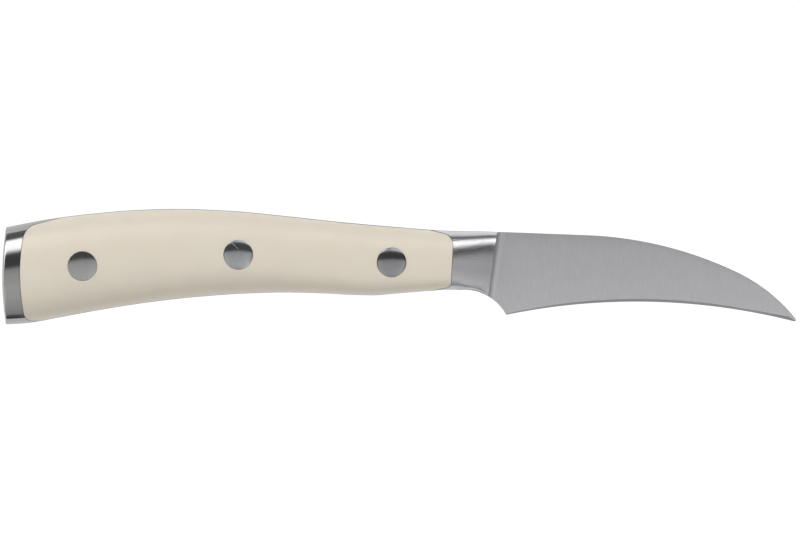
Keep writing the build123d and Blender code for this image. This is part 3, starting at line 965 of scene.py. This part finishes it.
def makeNearTable():
    # the table close to the handle as its steel sees it, with the handle's own shadow on it
    out, steps = studio["nearOut"], studio["nearSteps"]
    x = np.linspace(-handle["length"], 0.0, steps)
    back, belly = ovalAt(x)[:2]
    x[0] -= out
    places = np.vstack([np.column_stack([x, -belly - out]), np.column_stack([x, back + out])])
    i = np.arange(steps - 1)
    faces = np.stack([i, i + 1, i + 1 + steps, i + steps], axis=-1).tolist()
    material = mattSheet("shadedTable", studio["nearColour"])
    makeSheet("nearTable", places, faces, studio["nearHeight"], material)


def makeCards():
    material = mattSheet("blackCard", studio["cardColour"])
    for name, ranges in studio["cards"].items():
        makeSheet(name, *rectangle(*ranges), studio["cardHeight"], material)


def makeCamera():
    # square on to the knife's right side, as the photograph is, with parallel lines of sight
    camera = addObject("camera", bpy.data.cameras.new("camera"))
    camera.data.type = "ORTHO"
    camera.data.ortho_scale = studio["viewWidth"] / 1000
    x, y = np.array(studio["centre"]) / 1000 + zero[:2]
    camera.location = (x, y, studio["cameraHeight"] / 1000)
    camera.data.clip_start, camera.data.clip_end = [place / 1000 for place in studio["clips"]]
    bpy.context.scene.camera = camera


bpy.context.scene.view_settings.view_transform = "Standard"
makeCamera()
makeWorld()
makeTable()
makeNearTable()
makeCards()
print("studio ready")

# The belt's lines run from spine to edge, so the pattern is fine along x and long along y. From low to high
# the tone goes from edge to back: on the blade and the bolster this is painted shade and painted reflection,
# the blade darker towards its spine and the bolster lighter towards its top; they and depth are in
# millimetres.
bladeSteel = groundSteel("satinGroundStainless", {
    "back": "#C2C1C4", "edge": "#D5D5D8", "low": -13.0, "high": 8.0, "streaks": 0.08,
    "lineScale": (3200.0, 350.0, 400.0), "bump": 0.35, "depth": 0.012, "smooth": 0.31, "rough": 0.41})
# the bolster's tone, lighter at its top and darker at its foot, is painted reflection and painted shade
bolsterSteel = groundSteel("beltPolishedStainless", {
    "back": "#D0D0D2", "edge": "#B2B2B4", "low": -6.0, "high": 8.0, "streaks": 0.08,
    "lineScale": (5200.0, 3400.0, 3400.0), "bump": 1.0, "depth": 0.045, "smooth": 0.13, "rough": 0.2})
capSteel = groundSteel("mirrorPolishedStainless", {
    "back": "#A9A9A8", "edge": "#A9A9A8", "low": -12.0, "high": 10.0, "streaks": 0.05,
    "lineScale": (2600.0, 2000.0, 2000.0), "bump": 0.3, "depth": 0.005, "smooth": 0.11, "rough": 0.13})
rivetLooks = [{
    "back": tone, "edge": tone, "low": -6.0, "high": 8.0, "streaks": 0.08,
    "lineScale": (2400.0, 700.0, 900.0), "bump": 0.25, "depth": 0.006, "smooth": 0.11, "rough": 0.16}
    for tone in rivets["tones"]]
# x, y and z of the scratch's middle and its turn in degrees; length, width and height; added roughness
rivetLooks[1].update({
    "scratch": (-61.8, 4.85, 6.5, -43.5), "scratchSize": (1.9, 0.15, 4.0), "scratchRough": 0.28})
rivetSteels = [groundSteel(name + "RivetStainless", look) for name, look in zip(rivets["names"], rivetLooks)]
# dark steel for the tang's edge and the seam walls: painted shade, for the shade in the seams and along the
# scales' edges
tangShadeSteel = groundSteel("paintedShadeTangStainless", {
    "back": "#7A7A7C", "edge": "#7A7A7C", "low": -12.0, "high": 10.0, "streaks": 0.1,
    "lineScale": (2000.0, 2000.0, 400.0), "bump": 0.2, "depth": 0.006, "smooth": 0.36, "rough": 0.44})
# honed steel for the bevel; on the spine the same darker grey is painted shade, a dark line along its edge
honedAndSpineShadeSteel = groundSteel("honedEdgeAndSpineShadeStainless", {
    "back": "#A0A0A2", "edge": "#9A9A9C", "low": -12.0, "high": 10.0, "streaks": 0.1,
    "lineScale": (300.0, 3000.0, 400.0), "bump": 0.2, "depth": 0.006, "smooth": 0.3, "rough": 0.4})
cream = creamAcetal("creamAcetal", {
    "pale": "#E1D9C9", "deep": "#DCD3C3", "cloudSize": 6.0, "grainSize": 0.5, "bump": 0.1, "depth": 0.004,
    "roughness": 0.28, "ior": 1.45, "soft": 0.15})

blank = makeHandleForm()
rightScale = addObject("rightScale", blank.data.copy())
makeScale(rightScale)
leftScale = mirrored("leftScale", rightScale)
print("scales made")
blank.name = "forgedBlank"
makeBlank(blank)
setMaterials(blank, bladeSteel, bolsterSteel, capSteel, tangShadeSteel, honedAndSpineShadeSteel)
paintBlank(blank)
print("blank made", len(blank.data.polygons), "faces")

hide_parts("blade_blank")
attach(blank, "root")
for piece, node in ((rightScale, "right_scale"), (leftScale, "left_scale")):
    setMaterials(piece, cream)
    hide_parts(node)
    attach(piece, "root")
for name, share, dome, rivetSteel in zip(
        rivets["names"], rivets["stationShares"], rivets["domes"], rivetSteels):
    floor = rivetSeat(share)[2]
    post = makeRivetHalf(name + "RivetPost", share, dome, rivets["postRadius"] - rivets["clearance"],
                         rivets["postShort"] - floor)
    sleeve = makeRivetHalf("sleeveTool", share, dome, rivets["sleeveRadius"],
                           rivets["sleeveShort"] - floor, rivets["postRadius"])
    otherSide = mirrored(name + "RivetSleeve", sleeve)
    bpy.data.objects.remove(sleeve)
    for half, node in ((post, name + "_rivet_post"), (otherSide, name + "_rivet_sleeve")):
        setMaterials(half, rivetSteel)
        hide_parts(node)
        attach(half, "root")
print("rivets made")
